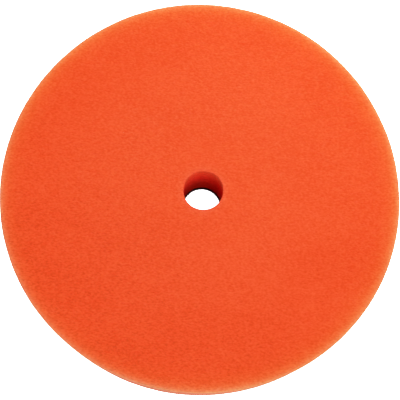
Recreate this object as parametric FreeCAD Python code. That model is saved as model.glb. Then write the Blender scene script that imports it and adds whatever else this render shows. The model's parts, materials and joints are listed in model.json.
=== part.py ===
import FreeCAD, Part
import os

# Foam polishing pad that grips a round backing plate with hook-and-loop.
# The pad lies loops down. +Z points out of the working face.
# The origin is on the centre hole's axis, at the tips of the loops.
# All sizes are in millimetres.

os.makedirs("parts", exist_ok=True)

# ---- driving dimensions ----
# across the working face
face_diameter = 165.0
# across the foot of the side wall, which tapers in a little from the face
foot_diameter = 163.5
# across the loop cloth and the foam's back
back_diameter = 152.0
# punched through every layer, for the centring pin
hole_diameter = 17.0
# loop tips to working face
pad_height = 30.0
# height of the side wall from its foot to the face, its rounded corner included
wall_height = 24.0
# the soft corner between the working face and the side wall
face_corner_radius = 1.2
# layers under the foam, from the loops up
pile_height = 1.4
knit_thickness = 0.6
film_thickness = 0.2

# ---- derived sizes ----
face_radius = face_diameter / 2
foot_radius = foot_diameter / 2
back_radius = back_diameter / 2
hole_radius = hole_diameter / 2
# the heights at which one layer ends and the next begins
pile_top = pile_height
knit_top = pile_top + knit_thickness
film_top = knit_top + film_thickness
# where the side wall gives way to the undercut
undercut_top = pad_height - wall_height

up = FreeCAD.Vector(0, 0, 1)
pad_axis_point = FreeCAD.Vector(0, 0, 0)


def point(radius, height):
    """A point of a turned profile, in the XZ plane."""
    return FreeCAD.Vector(radius, 0, height)


def turned(edges):
    """One closed solid, turned round the pad's axis from the profile's edges."""
    profile = Part.Face(Part.Wire(edges))
    return profile.revolve(pad_axis_point, up, 360)


def ring(outer_radius, bottom, top):
    """A flat layer with the centre hole through it."""
    corners = [
        point(hole_radius, bottom),
        point(outer_radius, bottom),
        point(outer_radius, top),
        point(hole_radius, top),
    ]
    edges = [Part.makeLine(a, b) for a, b in zip(corners, corners[1:] + corners[:1])]
    return turned(edges)


def foam_disc():
    """The foam: flat face, rounded corner, nearly upright wall, and an undercut down to the back."""
    corner_start = point(face_radius, pad_height - face_corner_radius)
    corner_end = point(face_radius - face_corner_radius, pad_height)
    # the middle of the corner's quarter circle
    reach = face_corner_radius * (1 - 0.5 ** 0.5)
    corner_middle = point(face_radius - reach, pad_height - reach)
    hole_foot = point(hole_radius, film_top)
    hole_mouth = point(hole_radius, pad_height)
    back_edge = point(back_radius, film_top)
    wall_foot = point(foot_radius, undercut_top)
    edges = [
        Part.makeLine(hole_foot, back_edge),
        Part.makeLine(back_edge, wall_foot),
        Part.makeLine(wall_foot, corner_start),
        Part.Arc(corner_start, corner_middle, corner_end).toShape(),
        Part.makeLine(corner_end, hole_mouth),
        Part.makeLine(hole_mouth, hole_foot),
    ]
    return turned(edges)


def write_node(name, shape):
    """Saves one piece under its own name."""
    shape.exportStep("parts/" + name + ".step")


# the orange foam that does the polishing
write_node("foam_disc", foam_disc())
# the melted adhesive web between the foam and the cloth
write_node("glue_film", ring(back_radius, knit_top, film_top))
# the knitted ground of the loop cloth, which holds the loops' feet
write_node("ground_knit", ring(back_radius, pile_top, knit_top))
# the standing loops that the backing plate's hooks catch
write_node("loop_pile", ring(back_radius, 0, pile_top))
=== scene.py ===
"""A foam polishing pad lying loops down: its layers, their finishes and the studio it lies in."""

import json
import logging
import math
from dataclasses import dataclass, field
from enum import Enum
from typing import Mapping, Sequence, Union

import bpy
import numpy as np
from mathutils import Euler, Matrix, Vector


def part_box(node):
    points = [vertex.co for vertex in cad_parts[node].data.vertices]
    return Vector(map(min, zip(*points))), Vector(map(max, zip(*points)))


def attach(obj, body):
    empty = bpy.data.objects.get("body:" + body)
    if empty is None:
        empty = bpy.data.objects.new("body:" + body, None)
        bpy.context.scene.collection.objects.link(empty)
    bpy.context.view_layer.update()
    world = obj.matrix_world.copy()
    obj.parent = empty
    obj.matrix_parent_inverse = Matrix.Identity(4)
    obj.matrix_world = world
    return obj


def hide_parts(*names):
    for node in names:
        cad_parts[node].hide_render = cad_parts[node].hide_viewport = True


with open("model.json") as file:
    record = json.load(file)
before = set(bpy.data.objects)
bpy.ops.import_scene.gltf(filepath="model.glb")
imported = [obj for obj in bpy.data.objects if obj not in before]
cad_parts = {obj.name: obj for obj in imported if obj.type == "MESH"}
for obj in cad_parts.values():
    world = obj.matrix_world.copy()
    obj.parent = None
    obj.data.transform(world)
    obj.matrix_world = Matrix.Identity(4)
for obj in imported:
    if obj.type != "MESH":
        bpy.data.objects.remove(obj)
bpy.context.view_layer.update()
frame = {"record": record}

MM = 0.001
BODY = "root"
LOG = logging.getLogger("polishing_pad")

Socket = bpy.types.NodeSocket
Value = Union[float, int, bool, tuple, Socket, bpy.types.Material]
Triple = tuple[float, float, float]
Colour = Triple
Point = tuple[float, float]


class Layer(Enum):
    """The pad's layers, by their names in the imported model."""

    FOAM = "foam_disc"
    GLUE = "glue_film"
    KNIT = "ground_knit"
    PILE = "loop_pile"


class Slot(Enum):
    """The record's material slots."""

    FOAM = "orange_foam"
    GLUE = "clear_glue"
    KNIT = "black_knit"
    PILE = "black_pile"


@dataclass(frozen=True)
class PadSizes:
    """The pad's sizes in metres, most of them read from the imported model.

    Heights are above the tips of the loops.

    Attributes:
        wall_height: the side wall's height, its rounded corner included.
        taper: how much smaller the wall's foot is than the face, in radius.
        corner_radius: the soft corner between the face and the wall.
        spring_back: how far the foam's mouth and the cloth close in once the punch is out.
        bore_lean: how far the hole's mouth lies from straight above its foot.
        blank_offset: how far the cut blank's middle lies from the hole's axis.
        out_of_round: the blank's shares of an oval along the axes, an oval along their
            diagonals, and three lobes.
    """

    face_radius: float
    back_radius: float
    hole_radius: float
    face_height: float
    glue_top: float
    knit_top: float
    pile_top: float
    wall_height: float = 24.0 * MM
    taper: float = 0.75 * MM
    corner_radius: float = 1.2 * MM
    spring_back: float = 0.25 * MM
    bore_lean: Triple = (0.0, -0.38 * MM, 0.0)
    blank_offset: Triple = (-1.12 * MM, 0.0, 0.0)
    out_of_round: Triple = (-0.0030, -0.0018, -0.0029)

    @property
    def foot_radius(self) -> float:
        """The side wall's radius at its foot."""
        return self.face_radius - self.taper

    @property
    def wall_foot(self) -> float:
        """The height of the side wall's foot."""
        return self.face_height - self.wall_height

    @property
    def bore_radius(self) -> float:
        """The punched hole's radius as it ends up."""
        return self.hole_radius - self.spring_back

    @classmethod
    def from_frame(cls) -> "PadSizes":
        """Reads the layers' boxes and the hole's mount.

        Returns:
            The sizes that every layer is built to.
        """
        foam_low, foam_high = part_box(Layer.FOAM.value)
        _, glue_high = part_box(Layer.GLUE.value)
        _, knit_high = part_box(Layer.KNIT.value)
        _, pile_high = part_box(Layer.PILE.value)
        mounts = {m["name"]: m for m in frame["record"]["mounts"]}
        return cls(
            face_radius=foam_high.x,
            back_radius=pile_high.x,
            hole_radius=mounts["centre_hole"]["dims"]["r_mm"] * MM,
            face_height=foam_high.z,
            glue_top=glue_high.z,
            knit_top=knit_high.z,
            pile_top=pile_high.z,
        )


# ---- node trees ----


class NodeBench:
    """Short ways to add nodes to one tree and to join them."""

    def __init__(self, tree: bpy.types.NodeTree) -> None:
        """Keeps the tree that the nodes go in.

        Args:
            tree: a shader or geometry node tree.
        """
        self.tree = tree

    def node(
        self,
        kind: str,
        settings: Mapping[str, object] | None = None,
        inputs: Mapping[Union[str, int], Value] | None = None,
    ) -> bpy.types.Node:
        """Adds a node.

        Args:
            kind: the node's type name.
            settings: the node's own properties.
            inputs: a value or a socket for each named or numbered input.

        Returns:
            The new node.
        """
        made = self.tree.nodes.new(kind)
        for name, value in (settings or {}).items():
            setattr(made, name, value)
        for key, value in (inputs or {}).items():
            self.feed(made.inputs[key], value)
        return made

    def feed(self, socket: Socket, value: Value) -> None:
        """Links a socket, or sets its own value.

        Args:
            socket: the input.
            value: what goes in.
        """
        if isinstance(value, bpy.types.NodeSocket):
            self.tree.links.new(value, socket)
        else:
            socket.default_value = value

    def maths(self, operation: str, *values: Value) -> Socket:
        """One step of arithmetic; returns its result."""
        kind = "ShaderNodeMath"
        return self.node(kind, {"operation": operation}, dict(enumerate(values))).outputs[0]

    def vector(self, operation: str, *values: Value) -> bpy.types.Node:
        """One step of vector arithmetic; returns the node."""
        return self.node("ShaderNodeVectorMath", {"operation": operation}, dict(enumerate(values)))

    def combined(self, operation: str, first: Value, second: Value) -> Socket:
        """Two vectors added, subtracted or multiplied; returns the result."""
        return self.vector(operation, first, second).outputs[0]

    def split(self, vector: Value) -> bpy.types.bpy_prop_collection:
        """A vector's three parts, as the outputs X, Y and Z."""
        return self.node("ShaderNodeSeparateXYZ", inputs={0: vector}).outputs

    def random(self, low: Value, high: Value, seed: Value) -> Socket:
        """A different vector between two others for each point; returns its socket."""
        settings = {"data_type": "FLOAT_VECTOR"}
        return self.node("FunctionNodeRandomValue", settings, {0: low, 1: high, "Seed": seed}).outputs[0]

    def bump(self, strength: float, distance: float, height: Value) -> Socket:
        """Fine relief from a height; returns the normal's socket."""
        inputs = {"Strength": strength, "Distance": distance, "Height": height}
        return self.node("ShaderNodeBump", inputs=inputs).outputs[0]

    def ramp(
        self, value: Value, low: Value, high: Value, to_low: Value = 0.0, to_high: Value = 1.0
    ) -> Socket:
        """A smooth, clamped change from one value to another.

        Args:
            value: what is measured.
            low: where the change starts.
            high: where it ends.
            to_low: the result up to low.
            to_high: the result from high on.

        Returns:
            The result's socket.
        """
        settings = {"interpolation_type": "SMOOTHSTEP"}
        inputs = {0: value, 1: low, 2: high, 3: to_low, 4: to_high}
        return self.node("ShaderNodeMapRange", settings, inputs).outputs[0]

    def blend(self, factor: Value, first: Value, second: Value, kind: str = "MIX") -> Socket:
        """Mixes two colours.

        Args:
            factor: how much of the second.
            first: the colour at 0.
            second: the colour at 1.
            kind: the blend type.

        Returns:
            The mixed colour's socket.
        """
        settings = {"data_type": "RGBA", "blend_type": kind}
        return self.node("ShaderNodeMix", settings, {0: factor, 6: first, 7: second}).outputs[2]

    def axis_and_height(self, place: Socket) -> tuple[Socket, Socket]:
        """Splits a place into its distance from the pad's axis and its height.

        Args:
            place: a point's socket.

        Returns:
            The distance and the height.
        """
        flat = self.vector("MULTIPLY", place, (1.0, 1.0, 0.0)).outputs[0]
        radius = self.vector("LENGTH", flat).outputs["Value"]
        return radius, self.split(place)["Z"]

    def scaled(self, vector: Value, amount: Value) -> Socket:
        """A vector times a number; returns its socket."""
        inputs = {0: vector, "Scale": amount}
        return self.node("ShaderNodeVectorMath", {"operation": "SCALE"}, inputs).outputs[0]

    def out_of_round(self, place: Socket, shares: Value, radius: Value) -> Socket:
        """How far a place moves when a round blank comes out slightly oval and three-lobed.

        Args:
            place: a point's socket, from the blank's middle.
            shares: the oval along the axes, the oval along their diagonals and the lobes.
            radius: the blank's radius, where the lobes have their full share.

        Returns:
            The move's socket.
        """
        x, y, _ = self.split(place)
        axial, diagonal, lobed = self.split(shares)
        difference = self.maths("SUBTRACT", self.maths("MULTIPLY", x, x), self.maths("MULTIPLY", y, y))
        product = self.maths("MULTIPLY", self.maths("MULTIPLY", x, y), 2.0)
        moves = (
            self.scaled(self.flat_vector(x, self.maths("MULTIPLY", y, -1.0)), axial),
            self.scaled(self.flat_vector(y, x), diagonal),
            self.scaled(self.flat_vector(product, difference), self.maths("DIVIDE", lobed, radius)),
        )
        return self.combined("ADD", self.combined("ADD", moves[0], moves[1]), moves[2])

    def flat_vector(self, x: Value, y: Value) -> Socket:
        """A vector in the pad's plane; returns its socket."""
        return self.node("ShaderNodeCombineXYZ", inputs={0: x, 1: y}).outputs[0]

    def pressed_flat(self, geometry: Socket, lowest: Value) -> Socket:
        """Presses whatever hangs too low flat against the table.

        Args:
            geometry: the yarns.
            lowest: the height of the pressed yarns.

        Returns:
            The geometry's socket.
        """
        place = self.node("GeometryNodeInputPosition").outputs[0]
        x, y, z = self.split(place)
        height = self.maths("MAXIMUM", z, lowest)
        raised = self.node("ShaderNodeCombineXYZ", inputs={0: x, 1: y, 2: height}).outputs[0]
        inputs = {"Geometry": geometry, "Position": raised}
        return self.node("GeometryNodeSetPosition", inputs=inputs).outputs[0]

    def real(self, instances: Socket) -> Socket:
        """Turns instances into plain geometry; returns its socket."""
        return self.node("GeometryNodeRealizeInstances", inputs={0: instances}).outputs[0]

    def put_out(self, geometry: Socket, finish: Socket) -> None:
        """Gives the geometry its finish and sends it out of the tree.

        Args:
            geometry: the tree's plain geometry.
            finish: the material's socket.
        """
        inputs = {"Geometry": geometry, "Material": finish}
        dressed = self.node("GeometryNodeSetMaterial", inputs=inputs)
        self.node("NodeGroupOutput", inputs={0: dressed.outputs[0]})


def new_tree(name: str, kind: str, sockets: Sequence[tuple[str, str, str]]) -> NodeBench:
    """Starts a node group with its inputs and outputs.

    Args:
        name: the group's name.
        kind: GeometryNodeTree or ShaderNodeTree.
        sockets: (name, INPUT or OUTPUT, type) of each socket; the type leaves out "NodeSocket".

    Returns:
        The bench for the new tree.
    """
    tree = bpy.data.node_groups.new(name, kind)
    for label, side, shape in sockets:
        tree.interface.new_socket(name=label, in_out=side, socket_type="NodeSocket" + shape)
    return NodeBench(tree)


def new_geometry_tree(name: str, shapes: Mapping[str, str]) -> NodeBench:
    """Starts a modifier's tree, with the geometry as its first input and the finish as its last.

    Args:
        name: the tree's name.
        shapes: the type of each input between them, by name.

    Returns:
        The bench for the new tree.
    """
    bench = new_tree(name, "GeometryNodeTree", [
        ("Geometry", "OUTPUT", "Geometry"),
        ("Geometry", "INPUT", "Geometry"),
        *((label, "INPUT", shape) for label, shape in shapes.items()),
        ("Finish", "INPUT", "Material"),
    ])
    bench.tree.is_modifier = True
    return bench


def grow(
    name: str, base: bpy.types.Mesh, tree: bpy.types.NodeTree, values: Mapping[str, Value]
) -> bpy.types.Object:
    """Runs a geometry tree on a base mesh and keeps the result as a plain piece.

    Args:
        name: the piece's name.
        base: the mesh that the tree starts from; it is used up.
        tree: the geometry tree.
        values: its inputs, by name.

    Returns:
        The finished object, with no modifier left on it.
    """
    seedling = bpy.data.objects.new(name + "_base", base)
    bpy.context.scene.collection.objects.link(seedling)
    modifier = seedling.modifiers.new(tree.name, "NODES")
    modifier.node_group = tree
    for item in tree.interface.items_tree:
        if item.in_out == "INPUT" and item.name in values:
            modifier[item.identifier] = values[item.name]
    graph = bpy.context.evaluated_depsgraph_get()
    mesh = bpy.data.meshes.new_from_object(
        seedling.evaluated_get(graph), preserve_all_data_layers=True, depsgraph=graph
    )
    seedling.modifiers.remove(modifier)
    bpy.data.objects.remove(seedling)
    bpy.data.meshes.remove(base)
    mesh.name = name
    piece = bpy.data.objects.new(name, mesh)
    bpy.context.scene.collection.objects.link(piece)
    return piece


# ---- turned meshes ----


@dataclass(frozen=True)
class Corner:
    """One corner of a turned profile.

    Attributes:
        radius: distance from the axis.
        height: height above the loops' tips.
        rounding: the radius that the corner is rounded to.
        step: the spacing of rings along the edge that follows.
    """

    radius: float
    height: float
    rounding: float = 0.0
    step: float = 0.5 * MM


@dataclass(frozen=True)
class TurnedRing:
    """A closed solid of revolution, with rings of about evenly spaced points.

    A ring has twice as many points as its neighbour where it is about twice as wide, so that
    faces near the hole are no smaller than those at the rim.
    """

    corners: tuple[Corner, ...]
    spacing: float
    fewest: int = 20
    arc_steps: int = 5

    def arc(self, before: Corner, at: Corner, after: Corner) -> list[Point]:
        """The rounded corner's points.

        Args:
            before: the corner before.
            at: the corner to round.
            after: the corner after.

        Returns:
            The points from one tangent to the other.
        """
        corner = np.array((at.radius, at.height))
        if at.rounding == 0.0:
            return [(at.radius, at.height)]
        back = np.array((before.radius, before.height)) - corner
        ahead = np.array((after.radius, after.height)) - corner
        back /= np.linalg.norm(back)
        ahead /= np.linalg.norm(ahead)
        half = math.acos(float(np.clip(back @ ahead, -1, 1))) / 2
        middle = (back + ahead) / np.linalg.norm(back + ahead)
        centre = corner + middle * at.rounding / math.sin(half)
        start = corner + back * at.rounding / math.tan(half) - centre
        turn = math.copysign(math.pi - 2 * half, back[1] * ahead[0] - back[0] * ahead[1])
        points = []
        for angle in np.linspace(0, turn, self.arc_steps + 1):
            c, s = math.cos(angle), math.sin(angle)
            x, z = centre + np.array((c * start[0] - s * start[1], s * start[0] + c * start[1]))
            points.append((float(x), float(z)))
        return points

    def profile(self) -> list[Point]:
        """The whole closed profile, rounded and divided.

        Returns:
            Its points, in order.
        """
        count = len(self.corners)
        after = self.corners[1:] + self.corners[:1]
        arcs = [self.arc(self.corners[i - 1], self.corners[i], after[i]) for i in range(count)]
        points: list[Point] = []
        for index, corner in enumerate(self.corners):
            points += arcs[index]
            start, end = np.array(arcs[index][-1]), np.array(arcs[(index + 1) % count][0])
            # a step no longer than the smaller radius keeps neighbouring rings within a factor of two
            step = min(corner.step, float(start[0]), float(end[0]))
            pieces = max(1, math.ceil(float(np.linalg.norm(end - start)) / step))
            for k in range(1, pieces):
                x, z = start + (end - start) * k / pieces
                points.append((float(x), float(z)))
        return points

    def ring_size(self, radius: float) -> int:
        """How many points a ring has.

        Args:
            radius: the ring's radius.

        Returns:
            The number of points.
        """
        size = self.fewest
        while math.tau * radius / size > self.spacing:
            size *= 2
        return size

    def mesh(self, name: str) -> bpy.types.Mesh:
        """Builds the closed mesh, its faces pointing out.

        Args:
            name: the mesh's name.

        Returns:
            The mesh.
        """
        points = self.profile()
        sizes = [self.ring_size(radius) for radius, _ in points]
        starts = np.concatenate(([0], np.cumsum(sizes)))
        places = []
        for (radius, height), size in zip(points, sizes):
            angle = math.tau * np.arange(size) / size
            x, y = radius * np.cos(angle), radius * np.sin(angle)
            places.append(np.stack((x, y, np.full(size, height)), axis=1))
        faces: list[tuple[int, ...]] = []
        for k, size in enumerate(sizes):
            after = (k + 1) % len(sizes)
            faces += self.strip(int(starts[k]), size, int(starts[after]), sizes[after])
        made = bpy.data.meshes.new(name)
        made.from_pydata(np.concatenate(places), [], faces)
        made.polygons.foreach_set("use_smooth", np.ones(len(made.polygons), bool))
        made.update()
        return made

    @staticmethod
    def strip(first: int, size: int, second: int, next_size: int) -> list[tuple[int, ...]]:
        """The faces between two rings.

        Args:
            first: the first ring's first point.
            size: the first ring's number of points.
            second: the next ring's first point.
            next_size: the next ring's number of points.

        Returns:
            Quads between equal rings, and triangles where the number doubles or halves.
        """
        if size == next_size:
            return [
                (first + i, second + i, second + (i + 1) % size, first + (i + 1) % size) for i in range(size)
            ]
        coarse, fine, count = (first, second, size) if size < next_size else (second, first, next_size)
        if max(size, next_size) != 2 * count:
            raise ValueError("neighbouring rings may differ by a factor of two only")
        found: list[tuple[int, ...]] = []
        for i in range(count):
            near, far = coarse + i, coarse + (i + 1) % count
            a, b, c = fine + 2 * i, fine + 2 * i + 1, fine + (2 * i + 2) % (2 * count)
            found += [(near, a, b), (near, b, far), (far, b, c)]
        return found if size < next_size else [face[::-1] for face in found]


# ---- effects that several finishes share ----


class SharedEffects:
    """Shader groups that more than one finish uses, each built once."""

    def __init__(self) -> None:
        """Builds the groups."""
        self.mottle = self.build_mottle()
        self.specks = self.build_specks()

    @staticmethod
    def build_mottle() -> bpy.types.NodeTree:
        """Uneven tone in two sizes, from 0 to 1 about a middle of a half.

        Returns:
            The group, with a Tone output.
        """
        bench = new_tree("uneven_tone", "ShaderNodeTree", [
            ("Place", "INPUT", "Vector"),
            ("Coarse Size", "INPUT", "Float"),
            ("Fine Size", "INPUT", "Float"),
            ("Fine Share", "INPUT", "Float"),
            ("Seed", "INPUT", "Float"),
            ("Tone", "OUTPUT", "Float"),
        ])
        given = bench.node("NodeGroupInput").outputs
        tones = []
        for size, detail in (("Coarse Size", 2.0), ("Fine Size", 1.0)):
            scale = bench.maths("DIVIDE", 1.0, given[size])
            noise = bench.node("ShaderNodeTexNoise", {"noise_dimensions": "4D"}, {
                "Vector": given["Place"], "W": given["Seed"], "Scale": scale, "Detail": detail,
            })
            tones.append(noise.outputs["Fac"])
        inputs = {0: given["Fine Share"], 2: tones[0], 3: tones[1]}
        mixed = bench.node("ShaderNodeMix", {"data_type": "FLOAT"}, inputs)
        bench.node("NodeGroupOutput", inputs={0: mixed.outputs[0]})
        return bench.tree

    @staticmethod
    def build_specks() -> bpy.types.NodeTree:
        """A few stray specks, such as lint or grit.

        Returns:
            The group, with a Mask output that is 1 on a speck.
        """
        bench = new_tree("stray_specks", "ShaderNodeTree", [
            ("Place", "INPUT", "Vector"),
            ("Spacing", "INPUT", "Float"),
            ("Speck Size", "INPUT", "Float"),
            ("Share Kept", "INPUT", "Float"),
            ("Seed", "INPUT", "Float"),
            ("Mask", "OUTPUT", "Float"),
        ])
        given = bench.node("NodeGroupInput").outputs
        scale = bench.maths("DIVIDE", 1.0, given["Spacing"])
        cells = bench.node("ShaderNodeTexVoronoi", {"voronoi_dimensions": "4D"}, {
            "Vector": given["Place"], "W": given["Seed"], "Scale": scale,
        })
        reach = bench.maths("DIVIDE", given["Speck Size"], given["Spacing"])
        dot = bench.ramp(cells.outputs["Distance"], bench.maths("MULTIPLY", reach, 0.5), reach, 1.0, 0.0)
        pick = bench.node("ShaderNodeSeparateColor", inputs={0: cells.outputs["Color"]}).outputs[0]
        kept = bench.maths("LESS_THAN", pick, given["Share Kept"])
        bench.node("NodeGroupOutput", inputs={0: bench.maths("MULTIPLY", dot, kept)})
        return bench.tree


class MaterialBench(NodeBench):
    """The bench of one material, with its shader and the place that is being coloured."""

    def __init__(self, slot: Slot, effects: SharedEffects, constants: Mapping[str, Value]) -> None:
        """Starts a material with a Principled shader.

        Args:
            slot: the slot that the material is for.
            effects: the shared groups.
            constants: what stays the same all over, by the shader's own input names.
        """
        self.material = bpy.data.materials.new(slot.value)
        self.material.use_nodes = True
        self.material.node_tree.nodes.clear()
        super().__init__(self.material.node_tree)
        self.effects = effects
        self.shader = self.node("ShaderNodeBsdfPrincipled", inputs=constants)
        self.node("ShaderNodeOutputMaterial", inputs={"Surface": self.shader.outputs[0]})
        self.place = self.node("ShaderNodeTexCoord").outputs["Object"]

    def finished(self, colour: Socket, roughness: Socket, normal: Socket | None = None) -> bpy.types.Material:
        """Feeds the shader what changes from place to place.

        Args:
            colour: its colour.
            roughness: its roughness.
            normal: its fine relief, if it has any.

        Returns:
            The material.
        """
        self.feed(self.shader.inputs["Base Color"], colour)
        self.feed(self.shader.inputs["Roughness"], roughness)
        if normal is not None:
            self.feed(self.shader.inputs["Normal"], normal)
        return self.material

    def tone(
        self, coarse: float, fine: float, share: float, seed: float, place: Socket | None = None
    ) -> Socket:
        """Uneven tone.

        Args:
            coarse: the size of its broad patches.
            fine: the size of its small ones.
            share: how much the small ones count.
            seed: the pattern's seed.
            place: where it is read, if not at the place itself.

        Returns:
            The tone's socket.
        """
        return self.node("ShaderNodeGroup", {"node_tree": self.effects.mottle}, {
            "Place": self.place if place is None else place, "Coarse Size": coarse, "Fine Size": fine,
            "Fine Share": share, "Seed": seed,
        }).outputs[0]

    def speckled(self, under: Socket, speck: "Specks") -> Socket:
        """A colour with stray specks on it; returns its socket."""
        mask = self.node("ShaderNodeGroup", {"node_tree": self.effects.specks}, {
            "Place": self.place, "Spacing": speck.spacing, "Speck Size": speck.size,
            "Share Kept": speck.kept, "Seed": speck.seed,
        }).outputs[0]
        return self.blend(self.maths("MULTIPLY", mask, speck.cover), under, (*speck.colour, 1.0))


@dataclass(frozen=True)
class Specks:
    """Stray specks: their colour, how well they cover, their spacing and size, and the share kept."""

    colour: Colour
    cover: float
    spacing: float
    size: float
    kept: float
    seed: float


# ---- finishes ----


@dataclass(frozen=True)
class FoamFinish:
    """Open-cell polyurethane foam: a dyed body whose thin cut edges let light through, shown as painted light
    that makes them paler, with painted shade in the hole.

    Each painted glow is added to the body's colour, and falls to a third over its reach.

    Attributes:
        middle_painted_light: painted light that makes the middle of the face slightly paler.
        middle_span: where it starts and ends, as shares of the face's radius.
        dim_side: the way to the side that the lamps light less, where the painted edge light is weaker.
        dim_from: where the weaker painted light starts, as a share of the face's radius.
        dim_share: how much of the painted glow is left there.
        wall_painted_glow_change: what the side wall adds to the rim's painted glow.
        bore_painted_shade: painted shade in the hole, deepening its red with depth, as shares of the face's
            colour.
        bore_start: how far below the face the hole's painted shade sets in; above the face if negative.
        bore_skin: how far into the foam it starts to fade and is gone.
        draw: how much longer the cells are along X.
        cell_painted_shade: the shares of its colour that a cell keeps under painted shade.
        cell_painted_light: the painted light that a lit cell adds.
    """

    body: Colour = (0.870, 0.0795, 0.0163)
    middle_painted_light: Colour = (0.0, 0.0095, 0.0050)
    middle_span: Point = (0.35, 0.9)
    rim_painted_glow: Colour = (0.01, 0.20, 0.148)
    rim_reach: float = 1.1 * MM
    wide_painted_glow: Colour = (0.12, 0.115, 0.0060)
    glow_reach: float = 2.6 * MM
    dim_side: Triple = (-0.71, -0.71, 0.0)
    dim_from: float = 0.3
    dim_share: float = 0.6
    wall_painted_glow_change: Colour = (-0.09, -0.10, -0.012)
    mouth_painted_glow: Colour = (0.02, 0.045, 0.028)
    mouth_reach: float = 1.2 * MM
    bore_painted_shade: Colour = (1.12, 0.14, 0.34)
    bore_start: float = -5.0 * MM
    bore_end: float = 14.0 * MM
    bore_skin: Point = (0.4 * MM, 1.2 * MM)
    cell_painted_shade: Colour = (0.79, 0.70, 0.63)
    cell_painted_light: Colour = (0.03, 0.018, 0.010)
    lint: Specks = Specks((0.95, 0.42, 0.24), 0.5, 9 * MM, 0.32 * MM, 0.3, 3.0)
    grit: Specks = Specks((0.30, 0.03, 0.015), 0.6, 24 * MM, 0.38 * MM, 0.12, 5.0)
    cell_size: float = 0.60 * MM
    cell_relief: float = 0.65 * MM
    draw: float = 1.8
    roughness: float = 0.92
    scatter: float = 0.35
    scatter_reach: Triple = (1.0, 0.32, 0.12)
    scatter_scale: float = 1.6 * MM

    def material(self, sizes: PadSizes, effects: SharedEffects) -> bpy.types.Material:
        """Builds the foam's material.

        Args:
            sizes: the pad's sizes, for where its edges are.
            effects: the shared groups.

        Returns:
            The material.
        """
        bench = MaterialBench(Slot.FOAM, effects, {
            "Sheen Weight": 0.15, "Sheen Roughness": 0.45, "Sheen Tint": (1.0, 0.25, 0.10, 1.0),
            "Specular IOR Level": 0.06, "Subsurface Weight": self.scatter,
            "Subsurface Radius": self.scatter_reach, "Subsurface Scale": self.scatter_scale,
        })
        drawn = bench.combined("MULTIPLY", bench.place, (1.0 / self.draw, 1.0, 1.0))
        colour = self.grained(bench, self.painted_edge_light_and_bore_shade(bench, sizes), drawn)
        tone = bench.tone(coarse=9 * MM, fine=0.7 * MM, share=0.5, seed=7.0)
        rough = bench.ramp(tone, 0.2, 0.8, self.roughness - 0.06, self.roughness)
        cells = bench.tone(coarse=3 * MM, fine=self.cell_size, share=0.85, seed=2.0, place=drawn)
        return bench.finished(colour, rough, bench.bump(1.0, self.cell_relief, cells))

    def painted_edge_light_and_bore_shade(self, bench: MaterialBench, sizes: PadSizes) -> Socket:
        """Paints light towards the pad's cut edges as a paler colour, and paints shade in the hole as a
        deeper one.

        Args:
            bench: the material's bench.
            sizes: the pad's sizes.

        Returns:
            The colour's socket.
        """
        down = bench.maths("SUBTRACT", sizes.face_height, bench.split(bench.place)["Z"])
        colour: Value = self.body
        # painted light: the edges' glows are added to the body's colour
        for share, rise in self.painted_glow_parts(bench, down, sizes):
            colour = bench.combined("ADD", colour, bench.scaled(rise, share))
        from_hole = self.from_hole(bench, down, sizes)
        # painted light: a paler ring round the hole's mouth
        into = bench.maths("ADD", bench.maths("ABSOLUTE", from_hole), down)
        mouth = self.fade(bench, into, self.mouth_reach)
        colour = bench.combined("ADD", colour, bench.scaled(self.mouth_painted_glow, mouth))
        # painted shade: the hole's wall turns a deeper, darker red with depth
        on_bore = bench.ramp(from_hole, *self.bore_skin, 1.0, 0.0)
        deep = bench.maths("MULTIPLY", on_bore, bench.ramp(down, self.bore_start, self.bore_end))
        return bench.blend(deep, colour, bench.combined("MULTIPLY", colour, self.bore_painted_shade))

    @staticmethod
    def from_hole(bench: MaterialBench, down: Socket, sizes: PadSizes) -> Socket:
        """How far a place lies outside the hole, which leans a little.

        Args:
            bench: the material's bench.
            down: how far the place is below the face.
            sizes: the pad's sizes.

        Returns:
            The distance's socket.
        """
        fallen = bench.maths("DIVIDE", down, sizes.face_height - sizes.glue_top)
        leant = bench.scaled(sizes.bore_lean, bench.maths("SUBTRACT", 1.0, fallen))
        from_axis, _ = bench.axis_and_height(bench.combined("SUBTRACT", bench.place, leant))
        return bench.maths("SUBTRACT", from_axis, sizes.bore_radius)

    def painted_glow_parts(
        self, bench: MaterialBench, down: Socket, sizes: PadSizes
    ) -> tuple[tuple[Socket, Colour], ...]:
        """The painted light added to the body's colour towards the rim, on the wall and in the middle.

        Args:
            bench: the material's bench.
            down: how far the place is below the face.
            sizes: the pad's sizes.

        Returns:
            The share and the full rise of each part.
        """
        centred = bench.combined("SUBTRACT", bench.place, sizes.blank_offset)
        uneven = bench.out_of_round(centred, sizes.out_of_round, sizes.face_radius)
        radius, _ = bench.axis_and_height(bench.combined("SUBTRACT", centred, uneven))
        drawn_in = bench.maths("MULTIPLY", down, sizes.taper / sizes.wall_height)
        wall = bench.maths("SUBTRACT", sizes.face_radius, drawn_in)
        depth = bench.maths("MAXIMUM", bench.maths("SUBTRACT", wall, radius), 0.0)
        near = self.fade(bench, depth, self.rim_reach)
        below_corner = bench.ramp(down, sizes.corner_radius, sizes.wall_height / 4)
        # painted shade: the edge glow is weaker on the side that the lamps light less
        side = bench.vector("DOT_PRODUCT", bench.place, self.dim_side).outputs["Value"]
        dim_start = sizes.face_radius * self.dim_from
        thin = bench.ramp(side, dim_start, sizes.face_radius, 1.0, self.dim_share)
        # painted light: the middle of the face is made slightly paler
        start, end = (sizes.face_radius * share for share in self.middle_span)
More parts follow.
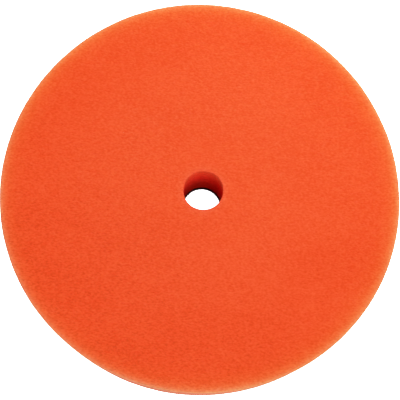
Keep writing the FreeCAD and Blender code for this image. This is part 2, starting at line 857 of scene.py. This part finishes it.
        # painted light: the rim glow, the wide glow, the wall's change to them and the paler middle
        return (
            (near, self.rim_painted_glow),
            (bench.maths("MULTIPLY", self.fade(bench, depth, self.glow_reach), thin), self.wide_painted_glow),
            (bench.maths("MULTIPLY", near, below_corner), self.wall_painted_glow_change),
            (bench.ramp(radius, start, end, 1.0, 0.0), self.middle_painted_light),
        )

    @staticmethod
    def fade(bench: NodeBench, away: Socket, reach: float) -> Socket:
        """A natural fall from 1, to a third over the reach."""
        return bench.maths("POWER", math.e, bench.maths("DIVIDE", away, -reach))

    def grained(self, bench: MaterialBench, colour: Socket, drawn: Socket) -> Socket:
        """Adds the cells' uneven tone as painted shade and painted light, and a little lint and grit.

        Args:
            bench: the material's bench.
            colour: the colour so far.
            drawn: the place, with the cells drawn out along X.

        Returns:
            The colour's socket.
        """
        tone = bench.tone(coarse=14 * MM, fine=self.cell_size, share=0.8, seed=1.0, place=drawn)
        # painted shade and painted light: shaded and lit copies of the colour, mixed by the cells' tone
        dark = bench.blend(1.0, colour, (*self.cell_painted_shade, 1.0), "MULTIPLY")
        light = bench.blend(1.0, colour, (*self.cell_painted_light, 1.0), "ADD")
        colour = bench.blend(bench.ramp(tone, 0.25, 0.75), dark, light)
        return bench.speckled(bench.speckled(colour, self.lint), self.grit)


@dataclass(frozen=True)
class GlueFinish:
    """Hot-melt web: a thin, half-clear, satin film."""

    body: Colour = (0.42, 0.23, 0.11)
    thick: Colour = (0.60, 0.42, 0.26)
    roughness: float = 0.42

    def material(self, effects: SharedEffects) -> bpy.types.Material:
        """Builds the glue's material.

        Args:
            effects: the shared groups.

        Returns:
            The material.
        """
        bench = MaterialBench(Slot.GLUE, effects, {"Specular IOR Level": 0.5})
        tone = bench.tone(coarse=3 * MM, fine=0.6 * MM, share=0.5, seed=11.0)
        colour = bench.blend(bench.ramp(tone, 0.35, 0.65), (*self.body, 1.0), (*self.thick, 1.0))
        rough = bench.ramp(tone, 0.3, 0.7, self.roughness - 0.1, self.roughness + 0.15)
        return bench.finished(colour, rough, bench.bump(0.4, 0.05 * MM, tone))


@dataclass(frozen=True)
class KnitFinish:
    """The black warp knit that holds the loops: fine ribs one way and stitches across them."""

    yarn: Colour = (0.012, 0.012, 0.014)
    worn: Colour = (0.030, 0.029, 0.030)
    wale_pitch: float = 0.9 * MM
    course_pitch: float = 0.6 * MM
    roughness: float = 0.85

    def material(self, effects: SharedEffects) -> bpy.types.Material:
        """Builds the knit's material.

        Args:
            effects: the shared groups.

        Returns:
            The material.
        """
        bench = MaterialBench(Slot.KNIT, effects, {
            "Sheen Weight": 0.25, "Sheen Roughness": 0.4, "Sheen Tint": (0.5, 0.5, 0.52, 1.0),
            "Specular IOR Level": 0.25,
        })
        parts = bench.split(bench.place)
        wales = bench.maths("SINE", bench.maths("MULTIPLY", parts["X"], math.tau / self.wale_pitch))
        courses = bench.maths("SINE", bench.maths("MULTIPLY", parts["Y"], math.tau / self.course_pitch))
        stitches = bench.maths("MULTIPLY_ADD", wales, bench.maths("ADD", courses, 2.0), 3.0)
        tone = bench.tone(coarse=12 * MM, fine=0.5 * MM, share=0.6, seed=17.0)
        colour = bench.blend(bench.ramp(tone, 0.3, 0.8), (*self.yarn, 1.0), (*self.worn, 1.0))
        rough = bench.ramp(tone, 0.2, 0.8, self.roughness, 0.97)
        return bench.finished(colour, rough, bench.bump(0.6, 0.04 * MM, stitches))


@dataclass(frozen=True)
class PileFinish:
    """Black nylon loops: dull, with a slight lustre and a little dust."""

    yarn: Colour = (0.013, 0.013, 0.015)
    faded: Colour = (0.040, 0.039, 0.041)
    dust: Specks = Specks((0.30, 0.27, 0.24), 0.6, 6 * MM, 0.35 * MM, 0.25, 29.0)
    roughness: float = 0.62

    def material(self, effects: SharedEffects) -> bpy.types.Material:
        """Builds the loops' material.

        Args:
            effects: the shared groups.

        Returns:
            The material.
        """
        bench = MaterialBench(Slot.PILE, effects, {
            "Sheen Weight": 0.4, "Sheen Roughness": 0.35, "Sheen Tint": (0.6, 0.6, 0.62, 1.0),
            "Specular IOR Level": 0.4,
        })
        tone = bench.tone(coarse=8 * MM, fine=0.9 * MM, share=0.5, seed=23.0)
        colour = bench.blend(bench.ramp(tone, 0.3, 0.75), (*self.yarn, 1.0), (*self.faded, 1.0))
        rough = bench.ramp(tone, 0.2, 0.8, self.roughness - 0.1, self.roughness + 0.1)
        return bench.finished(bench.speckled(colour, self.dust), rough)


# ---- the pad's layers ----


def carry(piece: bpy.types.Object, layer: Layer | None) -> bpy.types.Object:
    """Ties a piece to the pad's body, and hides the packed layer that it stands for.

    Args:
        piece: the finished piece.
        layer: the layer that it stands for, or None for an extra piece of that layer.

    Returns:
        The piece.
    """
    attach(piece, BODY)
    if layer is not None:
        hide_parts(layer.value)
    piece.data.calc_loop_triangles()
    LOG.info("%s: %d triangles", piece.name, len(piece.data.loop_triangles))
    return piece


def uneven_skin_tree() -> bpy.types.NodeTree:
    """The tree that makes a turned layer as uneven as a real one.

    A slow wander and open cells move the skin along its normal. The blank lies a little off the
    hole's axis, slightly oval and three-lobed, and the hole leans. The glued side stays put.

    Returns:
        The geometry tree.
    """
    lengths = (
        "Glued Height", "Free Height", "Hole Radius", "Outer Radius", "Blank Radius", "Face Height",
        "Wander Size", "Wander Depth", "Cell Size", "Cell Depth", "Seed",
    )
    moves = ("Blank Offset", "Out Of Round", "Bore Lean")
    shapes = dict.fromkeys(lengths, "Float") | dict.fromkeys(moves, "Vector")
    bench = new_geometry_tree("uneven_skin", shapes)
    given = bench.node("NodeGroupInput").outputs
    place = bench.node("GeometryNodeInputPosition").outputs[0]
    normal = bench.node("GeometryNodeInputNormal").outputs[0]
    radius, height = bench.axis_and_height(place)
    free = bench.ramp(height, given["Glued Height"], given["Free Height"])
    wander = bench.node("ShaderNodeTexNoise", {"noise_dimensions": "4D"}, {
        "Vector": place, "W": given["Seed"], "Detail": 2.0,
        "Scale": bench.maths("DIVIDE", 1.0, given["Wander Size"]),
    }).outputs["Fac"]
    rise = bench.maths("MULTIPLY", bench.maths("SUBTRACT", wander, 0.5), given["Wander Depth"])
    cells = bench.node("ShaderNodeTexVoronoi", {"voronoi_dimensions": "4D"}, {
        "Vector": place, "W": given["Seed"], "Scale": bench.maths("DIVIDE", 1.0, given["Cell Size"]),
    }).outputs["Distance"]
    pits = bench.maths("MULTIPLY", bench.maths("SUBTRACT", cells, 0.5), given["Cell Depth"])
    above_glue = bench.maths("ADD", given["Glued Height"], 1.5 * MM)
    near_glue = bench.ramp(height, given["Glued Height"], above_glue)
    along = bench.maths("MULTIPLY", bench.maths("ADD", rise, pits), near_glue)
    outside = bench.ramp(radius, given["Hole Radius"], given["Outer Radius"])
    uneven = bench.out_of_round(place, given["Out Of Round"], given["Blank Radius"])
    shift = bench.combined("ADD", given["Blank Offset"], uneven)
    climbed = bench.maths("SUBTRACT", height, given["Glued Height"])
    climb = bench.maths("SUBTRACT", given["Face Height"], given["Glued Height"])
    inside = bench.maths("SUBTRACT", 1.0, outside)
    lean = bench.maths("MULTIPLY", bench.maths("DIVIDE", climbed, climb), inside)
    leant = bench.scaled(given["Bore Lean"], lean)
    offset = bench.combined("ADD", bench.scaled(normal, along), leant)
    shifted = bench.scaled(shift, bench.maths("MULTIPLY", outside, free))
    inputs = {"Geometry": given["Geometry"], "Offset": bench.combined("ADD", offset, shifted)}
    moved = bench.node("GeometryNodeSetPosition", inputs=inputs)
    bench.put_out(bench.real(moved.outputs[0]), given["Finish"])
    return bench.tree


@dataclass(frozen=True)
class Unevenness:
    """How a layer's skin strays from a turned one: a slow wander, and cells or stitches."""

    wander_size: float
    wander_depth: float
    cell_size: float
    cell_depth: float
    seed: float

    def inputs(self) -> dict[str, Value]:
        """The skin tree's inputs for it."""
        return {
            "Wander Size": self.wander_size, "Wander Depth": self.wander_depth,
            "Cell Size": self.cell_size, "Cell Depth": self.cell_depth, "Seed": self.seed,
        }


@dataclass(frozen=True)
class Workshop:
    """What every layer is made with.

    Attributes:
        sizes: the pad's sizes.
        effects: the shared shader groups.
        skin: the tree that makes a turned layer uneven.
    """

    sizes: PadSizes
    effects: SharedEffects
    skin: bpy.types.NodeTree

    def flat_layer(
        self, name: str, ring: TurnedRing, uneven: Unevenness, finish: bpy.types.Material
    ) -> bpy.types.Object:
        """Turns a thin layer that is bonded to the foam.

        Args:
            name: the piece's name.
            ring: its turned shape.
            uneven: how its skin strays.
            finish: its material.

        Returns:
            The piece.
        """
        s = self.sizes
        return grow(name, ring.mesh(name + "_base"), self.skin, {
            "Glued Height": -s.face_height, "Free Height": 0.0, "Hole Radius": s.bore_radius,
            "Outer Radius": s.back_radius, **uneven.inputs(), "Finish": finish,
        })


@dataclass
class FoamDisc:
    """The foam: a turned disc with a soft face corner, a nearly upright wall and an undercut."""

    workshop: Workshop
    spacing: float = 0.62 * MM
    wall_step: float = 0.45 * MM
    face_step: float = 0.5 * MM
    hidden_step: float = 30 * MM
    mouth_rounding: float = 0.35 * MM
    foot_rounding: float = 0.9 * MM
    uneven: Unevenness = Unevenness(22 * MM, 0.5 * MM, 1.1 * MM, 0.14 * MM, 4.0)
    finish: FoamFinish = field(default_factory=FoamFinish)

    def build(self) -> bpy.types.Object:
        """Turns the disc, opens its cells and dresses it.

        Returns:
            The foam.
        """
        s = self.workshop.sizes
        ring = TurnedRing((
            Corner(s.hole_radius, s.glue_top, step=self.face_step),
            Corner(s.bore_radius, s.face_height, self.mouth_rounding, self.face_step),
            Corner(s.face_radius, s.face_height, s.corner_radius, self.wall_step),
            Corner(s.foot_radius, s.wall_foot, self.foot_rounding, self.wall_step),
            Corner(s.back_radius, s.glue_top, step=self.hidden_step),
        ), self.spacing)
        foam = grow("foam_body", ring.mesh("foam_body_base"), self.workshop.skin, {
            "Glued Height": s.glue_top, "Free Height": s.wall_foot, "Face Height": s.face_height,
            "Hole Radius": s.bore_radius + 2 * MM, "Outer Radius": s.face_radius * 0.8,
            "Blank Offset": s.blank_offset, "Blank Radius": s.face_radius,
            "Out Of Round": s.out_of_round, "Bore Lean": s.bore_lean,
            **self.uneven.inputs(), "Finish": self.finish.material(s, self.workshop.effects),
        })
        carry(foam, Layer.FOAM)
        return foam


@dataclass
class GlueFilm:
    """The melted web between foam and cloth, slightly uneven at its edges."""

    workshop: Workshop
    uneven: Unevenness = Unevenness(4 * MM, 0.1 * MM, 1.5 * MM, 0.05 * MM, 9.0)
    finish: GlueFinish = field(default_factory=GlueFinish)

    def build(self) -> bpy.types.Object:
        """Turns the film and dresses it.

        Returns:
            The film.
        """
        s = self.workshop.sizes
        rounding = (s.glue_top - s.knit_top) * 0.4
        ring = TurnedRing((
            Corner(s.hole_radius, s.knit_top, rounding, 1 * MM),
            Corner(s.hole_radius, s.glue_top, rounding, 30 * MM),
            Corner(s.back_radius, s.glue_top, rounding, 1 * MM),
            Corner(s.back_radius, s.knit_top, rounding, 30 * MM),
        ), 0.8 * MM, arc_steps=2)
        finish = self.finish.material(self.workshop.effects)
        film = self.workshop.flat_layer("glue_web", ring, self.uneven, finish)
        return carry(film, Layer.GLUE)


@dataclass
class LoopCloth:
    """The black loop cloth: a knitted ground, the loops that stand on it and the yarn ends at its cuts."""

    workshop: Workshop
    sectors: int = 4
    sector_steps: int = 48
    loop_spacing: float = 1.05 * MM
    loop_width: float = 0.85 * MM
    yarn_radius: float = 0.11 * MM
    foot_depth: float = 0.15 * MM
    lean: float = 0.42
    press_height: float = 0.02 * MM
    edge_inset: float = 0.3 * MM
    end_pitch: float = 0.55 * MM
    end_length: float = 0.75 * MM
    rim_rows: int = 2
    bore_rows: int = 5
    uneven: Unevenness = Unevenness(5 * MM, 0.1 * MM, 1.2 * MM, 0.06 * MM, 13.0)
    knit_finish: KnitFinish = field(default_factory=KnitFinish)
    pile_finish: PileFinish = field(default_factory=PileFinish)

    @property
    def loop_height(self) -> float:
        """The tallest loops reach from their feet in the ground to what the pad lies on."""
        return self.workshop.sizes.pile_top + self.foot_depth - self.yarn_radius

    def build(self, rests_on: str) -> list[bpy.types.Object]:
        """Builds the cloth's pieces.

        Args:
            rests_on: the name of the piece that the cloth is bonded to; not used.

        Returns:
            The ground, the loops by sector and the yarn ends.
        """
        knit_material = self.knit_finish.material(self.workshop.effects)
        pile_material = self.pile_finish.material(self.workshop.effects)
        ground = self.ground(knit_material)
        others = [*self.loops(pile_material), self.cut_ends(knit_material)]
        return [ground, *others]

    def ground(self, material: bpy.types.Material) -> bpy.types.Object:
        """Makes the knitted ground.

        Args:
            material: the knit's material.

        Returns:
            The ground.
        """
        s = self.workshop.sizes
        rounding = (s.knit_top - s.pile_top) * 0.35
        ring = TurnedRing((
            Corner(s.bore_radius, s.pile_top, rounding, 1 * MM),
            Corner(s.bore_radius, s.knit_top, rounding, 30 * MM),
            Corner(s.back_radius, s.knit_top, rounding, 1 * MM),
            Corner(s.back_radius, s.pile_top, rounding, 2 * MM),
        ), 1.0 * MM, arc_steps=3)
        ground = self.workshop.flat_layer("knit_ground", ring, self.uneven, material)
        return carry(ground, Layer.KNIT)

    def loops(self, material: bpy.types.Material) -> list[bpy.types.Object]:
        """Grows the standing loops, one piece for each sector of the ring.

        Args:
            material: the pile's material.

        Returns:
            The sectors' pieces.
        """
        tree = self.loop_tree()
        pieces = []
        for sector in range(self.sectors):
            name = f"loop_pile_{sector + 1}"
            piece = grow(name, self.sector_mesh(name + "_base", sector), tree, {
                "Loop Spacing": self.loop_spacing,
                "Loop Width": self.loop_width,
                "Loop Height": self.loop_height,
                "Yarn Radius": self.yarn_radius,
                "Lean": self.lean,
                "Lowest": self.press_height,
                "Seed": 31 + sector,
                "Finish": material,
            })
            pieces.append(carry(piece, Layer.PILE))
        return pieces

    def sector_mesh(self, name: str, sector: int) -> bpy.types.Mesh:
        """A flat sector of the ring that the loops stand on.

        Args:
            name: the mesh's name.
            sector: which sector, from 0.

        Returns:
            The mesh, facing down.
        """
        s = self.workshop.sizes
        height = s.pile_top + self.foot_depth
        inner, outer = s.bore_radius + self.edge_inset, s.back_radius - self.edge_inset
        steps = self.sector_steps
        angles = math.tau / self.sectors * (sector + np.arange(steps + 1) / steps)
        places = [(r * math.cos(a), r * math.sin(a), height) for a in angles for r in (inner, outer)]
        faces = [(2 * i, 2 * i + 2, 2 * i + 3, 2 * i + 1) for i in range(steps)]
        made = bpy.data.meshes.new(name)
        made.from_pydata(places, [], faces)
        return made

    @staticmethod
    def loop_tree() -> bpy.types.NodeTree:
        """The tree that scatters hanging loops over a surface.

        Returns:
            The geometry tree.
        """
        lengths = ("Loop Spacing", "Loop Width", "Loop Height", "Yarn Radius", "Lean", "Lowest")
        shapes = dict.fromkeys(lengths, "Float") | {"Seed": "Int"}
        bench = new_geometry_tree("standing_loops", shapes)
        given = bench.node("NodeGroupInput").outputs
        crowd = bench.maths("DIVIDE", 4.0, bench.maths("POWER", given["Loop Spacing"], 2.0))
        feet = bench.node("GeometryNodeDistributePointsOnFaces", {"distribute_method": "POISSON"}, {
            "Mesh": given["Geometry"], "Distance Min": given["Loop Spacing"], "Density Max": crowd,
            "Seed": given["Seed"],
        })
        arch = bench.node("GeometryNodeCurveArc", inputs={
            "Resolution": 7, "Radius": 1.0, "Start Angle": math.pi, "Sweep Angle": math.pi,
        })
        half_width = bench.maths("MULTIPLY", given["Loop Width"], 0.5)
        stretch = bench.node("ShaderNodeCombineXYZ", inputs={0: half_width, 1: given["Loop Height"], 2: 1.0})
        inputs = {"Geometry": arch.outputs[0], "Scale": stretch.outputs[0]}
        sized = bench.node("GeometryNodeTransform", inputs=inputs)
        inputs = {"Geometry": sized.outputs[0], "Rotation": (math.pi / 2, 0.0, 0.0)}
        hung = bench.node("GeometryNodeTransform", inputs=inputs)
        section = bench.node("GeometryNodeCurvePrimitiveCircle", inputs={
            "Resolution": 3, "Radius": given["Yarn Radius"],
        })
        loop = bench.node("GeometryNodeCurveToMesh", inputs={
            "Curve": hung.outputs[0], "Profile Curve": section.outputs[0],
        })
        smooth = bench.node("GeometryNodeSetShadeSmooth", inputs={"Geometry": loop.outputs[0]})
        lean_low = bench.scaled((-1.0, -1.0, 0.0), given["Lean"])
        lean_high = bench.scaled((1.0, 1.0, 0.0), given["Lean"])
        full_turn = bench.combined("ADD", lean_high, (0.0, 0.0, math.tau))
        turn = bench.random(lean_low, full_turn, given["Seed"])
        next_seed = bench.maths("ADD", given["Seed"], 1.0)
        size = bench.random((0.7, 0.7, 0.84), (1.25, 1.1, 1.0), next_seed)
        planted = bench.node("GeometryNodeInstanceOnPoints", inputs={
            "Points": feet.outputs["Points"], "Instance": smooth.outputs[0], "Rotation": turn, "Scale": size,
        })
        real = bench.real(planted.outputs[0])
        bench.put_out(bench.pressed_flat(real, given["Lowest"]), given["Finish"])
        return bench.tree

    def cut_ends(self, material: bpy.types.Material) -> bpy.types.Object:
        """Grows the short yarn ends along the cloth's two cut edges.

        Args:
            material: the knit's material.

        Returns:
            The yarn ends.
        """
        s = self.workshop.sizes
        places, outward = [], []
        edges = ((s.back_radius, 1.0, self.rim_rows), (s.bore_radius, -1.0, self.bore_rows))
        for radius, way, rows in edges:
            inset = radius - way * self.edge_inset
            count = round(math.tau * radius / self.end_pitch)
            for row in range(rows):
                height = s.knit_top * (1.0 - (row + 0.5) / rows)
                # each row starts half a pitch on from the last
                for angle in math.tau * (np.arange(count) + row / 2) / count:
                    c, sn = math.cos(angle), math.sin(angle)
                    places.append((inset * c, inset * sn, height))
                    outward.append((way * c, way * sn, 0.0))
        base = bpy.data.meshes.new("cut_yarn_ends_base")
        base.from_pydata(places, [], [])
        way_out = base.attributes.new("way_out", "FLOAT_VECTOR", "POINT")
        way_out.data.foreach_set("vector", np.array(outward, np.float32).ravel())
        ends = grow("cut_yarn_ends", base, self.end_tree(), {
            "Yarn Radius": self.yarn_radius * 0.9,
            "Length": self.end_length,
            "Lowest": self.press_height,
            "Seed": 41,
            "Finish": material,
        })
        return carry(ends, None)

    @staticmethod
    def end_tree() -> bpy.types.NodeTree:
        """The tree that puts a short, tapered yarn end on each point of a cut edge.

        Returns:
            The geometry tree.
        """
        shapes = {"Yarn Radius": "Float", "Length": "Float", "Lowest": "Float", "Seed": "Int"}
        bench = new_geometry_tree("cut_yarns", shapes)
        given = bench.node("NodeGroupInput").outputs
        points = bench.node("GeometryNodeMeshToPoints", inputs={"Mesh": given["Geometry"]})
        tip = bench.maths("MULTIPLY", given["Yarn Radius"], 0.45)
        end = bench.node("GeometryNodeMeshCone", inputs={
            "Vertices": 5, "Side Segments": 2, "Radius Top": tip, "Radius Bottom": given["Yarn Radius"],
            "Depth": given["Length"],
        })
        settings = {"data_type": "FLOAT_VECTOR"}
        way_out = bench.node("GeometryNodeInputNamedAttribute", settings, {"Name": "way_out"})
        stray = bench.random((-0.55, -0.55, -0.3), (0.55, 0.55, 0.3), given["Seed"])
        toward = bench.combined("ADD", way_out.outputs["Attribute"], stray)
        aim = bench.node("FunctionNodeAlignRotationToVector", {"axis": "Z"}, {"Vector": toward})
        size = bench.random((0.7, 0.7, 0.6), (1.1, 1.1, 1.2), bench.maths("ADD", given["Seed"], 1.0))
        planted = bench.node("GeometryNodeInstanceOnPoints", inputs={
            "Points": points.outputs[0], "Instance": end.outputs[0], "Rotation": aim.outputs[0],
            "Scale": size,
        })
        real = bench.real(planted.outputs[0])
        bench.put_out(bench.pressed_flat(real, given["Lowest"]), given["Finish"])
        return bench.tree


# ---- the studio ----


@dataclass(frozen=True)
class Lamp:
    """A round softbox that faces the pad.

    Attributes:
        name: the lamp's name.
        azimuth: its direction round the pad, in degrees from +X.
        elevation: its height above the floor, in degrees.
        distance: how far away it is.
        size: its diameter.
        light: how bright it makes a white card that faces it.
    """

    name: str
    azimuth: float
    elevation: float
    distance: float
    size: float
    light: float

    def hang(self) -> None:
        """Hangs the lamp."""
        data = bpy.data.lights.new(self.name, "AREA")
        data.shape = "DISK"
        data.size = self.size
        data.energy = self.light * (math.pi * self.distance) ** 2
        lamp = bpy.data.objects.new(self.name, data)
        bpy.context.scene.collection.objects.link(lamp)
        turn, rise = math.radians(self.azimuth), math.radians(self.elevation)
        way = Vector((math.cos(turn) * math.cos(rise), math.sin(turn) * math.cos(rise), math.sin(rise)))
        lamp.location = way * self.distance
        lamp.rotation_euler = (-way).to_track_quat("-Z", "Y").to_euler()
        lamp.visible_camera = False


@dataclass
class Studio:
    """A plain pale floor, soft light and a long lens.

    Attributes:
        aim: how far the camera stands aside from the face's middle, to its right and up.
        sky_strength: how strongly the sky lights the pad.
        floor_seen: how bright the floor looks to the camera.
        sky_seen: how bright the sky looks to it.
        response: brightness in the scene and in the picture, between black and white.
        response_top: the brightness that comes out white.
    """

    sizes: PadSizes
    distance: float = 421.0 * MM
    elevation: float = 75.13
    roll: float = 5.37
    lens: float = 92.30
    aim: Point = (-1.43 * MM, -4.41 * MM)
    floor_radius: float = 12.0
    floor_sides: int = 64
    floor_seen: float = 3.0
    sky_strength: float = 0.335
    sky_seen: float = 1.7
    lamps: tuple[Lamp, ...] = (
        Lamp("key", azimuth=64.0, elevation=42.0, distance=0.305, size=0.25, light=0.75),
        Lamp("front_fill", azimuth=-63.0, elevation=46.0, distance=2.2, size=1.7, light=0.65),
        Lamp("side_fill", azimuth=170.0, elevation=25.0, distance=2.2, size=1.7, light=0.30),
    )
    response: tuple[Point, ...] = (
        (0.35, 0.35), (0.7, 0.7), (0.85, 0.847), (1.0, 0.905), (1.12, 0.938), (1.25, 0.975),
    )
    response_top: float = 1.6

    def build(self) -> None:
        """Sets the floor, the light, the film's response and the camera."""
        self.floor()
        self.lights()
        self.film()
        self.camera()

    def floor(self) -> None:
        """Lays a large white floor, which looks lit from within to the camera alone."""
        mesh = bpy.data.meshes.new("floor")
        angles = math.tau * np.arange(self.floor_sides) / self.floor_sides
        edge = [(self.floor_radius * math.cos(a), self.floor_radius * math.sin(a), 0.0) for a in angles]
        mesh.from_pydata(edge, [], [tuple(range(self.floor_sides))])
        floor = bpy.data.objects.new("floor", mesh)
        bpy.context.scene.collection.objects.link(floor)
        material = bpy.data.materials.new("floor_white")
        material.use_nodes = True
        material.node_tree.nodes.clear()
        bench = NodeBench(material.node_tree)
        s = self.sizes
        place = bench.node("ShaderNodeTexCoord").outputs["Object"]
        radius, _ = bench.axis_and_height(place)
        # painted shadow: the floor's glow fades out beneath the pad's undercut, softening the floor's own
        # shade there into a contact shadow
        around = bench.ramp(radius, s.back_radius - 1 * MM, s.face_radius - 2 * MM)
        through = bench.ramp(radius, s.bore_radius - 0.3 * MM, s.bore_radius - 0.1 * MM, 1.0, 0.0)
        path = bench.node("ShaderNodeLightPath").outputs["Is Camera Ray"]
        seen = bench.maths("MULTIPLY", bench.maths("ADD", around, through), self.floor_seen)
        strength = bench.maths("MULTIPLY", path, seen)
        bounce = bench.node("ShaderNodeBsdfDiffuse", inputs={"Color": (0.8, 0.8, 0.8, 1.0)})
        glow = bench.node("ShaderNodeEmission", inputs={"Color": (1, 1, 1, 1), "Strength": strength})
        surface = bench.node("ShaderNodeAddShader", inputs={0: bounce.outputs[0], 1: glow.outputs[0]})
        bench.node("ShaderNodeOutputMaterial", inputs={"Surface": surface.outputs[0]})
        mesh.materials.append(material)

    def lights(self) -> None:
        """Hangs an even white sky and the lamps."""
        world = bpy.data.worlds.new("soft_sky")
        bpy.context.scene.world = world
        world.use_nodes = True
        world.node_tree.nodes.clear()
        bench = NodeBench(world.node_tree)
        lit, seen = (
            bench.node("ShaderNodeBackground", inputs={"Color": (1, 1, 1, 1), "Strength": strength})
            for strength in (self.sky_strength, self.sky_seen)
        )
        path = bench.node("ShaderNodeLightPath")
        mixed = bench.node("ShaderNodeMixShader", inputs={
            0: path.outputs["Is Camera Ray"], 1: lit.outputs[0], 2: seen.outputs[0],
        })
        bench.node("ShaderNodeOutputWorld", inputs={"Surface": mixed.outputs[0]})
        for lamp in self.lamps:
            lamp.hang()

    def film(self) -> None:
        """Gives the picture a film's soft shoulder, so that strong reds hold their shade."""
        view = bpy.context.scene.view_settings
        view.view_transform = "Standard"
        view.use_curve_mapping = True
        mapping = view.curve_mapping
        top = self.response_top
        mapping.white_level = (top, top, top)
        curve = mapping.curves[3]
        curve.points[0].location = (0.0, 0.0)
        curve.points[1].location = (1.0, 1.0)
        for x, y in self.response:
            curve.points.new(x / top, y)
        mapping.update()

    def camera(self) -> None:
        """Sets the camera above the pad's near side."""
        data = bpy.data.cameras.new("camera")
        data.lens = self.lens
        data.sensor_width = 36.0
        data.clip_start = 0.01
        data.clip_end = 100.0
        camera = bpy.data.objects.new("camera", data)
        bpy.context.scene.collection.objects.link(camera)
        rise = math.radians(self.elevation)
        face = Vector((0.0, 0.0, self.sizes.face_height))
        back = Vector((0.0, -math.cos(rise), math.sin(rise)))
        look = (-back).to_track_quat("-Z", "Y")
        camera.rotation_mode = "QUATERNION"
        camera.rotation_quaternion = look @ Euler((0, 0, math.radians(self.roll))).to_quaternion()
        sideways = camera.rotation_quaternion @ Vector((self.aim[0], self.aim[1], 0.0))
        camera.location = face + back * self.distance + sideways
        bpy.context.scene.camera = camera


def main() -> None:
    """Builds the pad layer by layer, then the studio."""
    logging.basicConfig(level=logging.INFO, format="%(name)s: %(message)s")
    sizes = PadSizes.from_frame()
    effects = SharedEffects()
    workshop = Workshop(sizes, effects, uneven_skin_tree())
    FoamDisc(workshop).build()
    film = GlueFilm(workshop).build()
    LoopCloth(workshop).build(film.name)
    Studio(sizes).build()


if __name__ == "__main__":
    main()
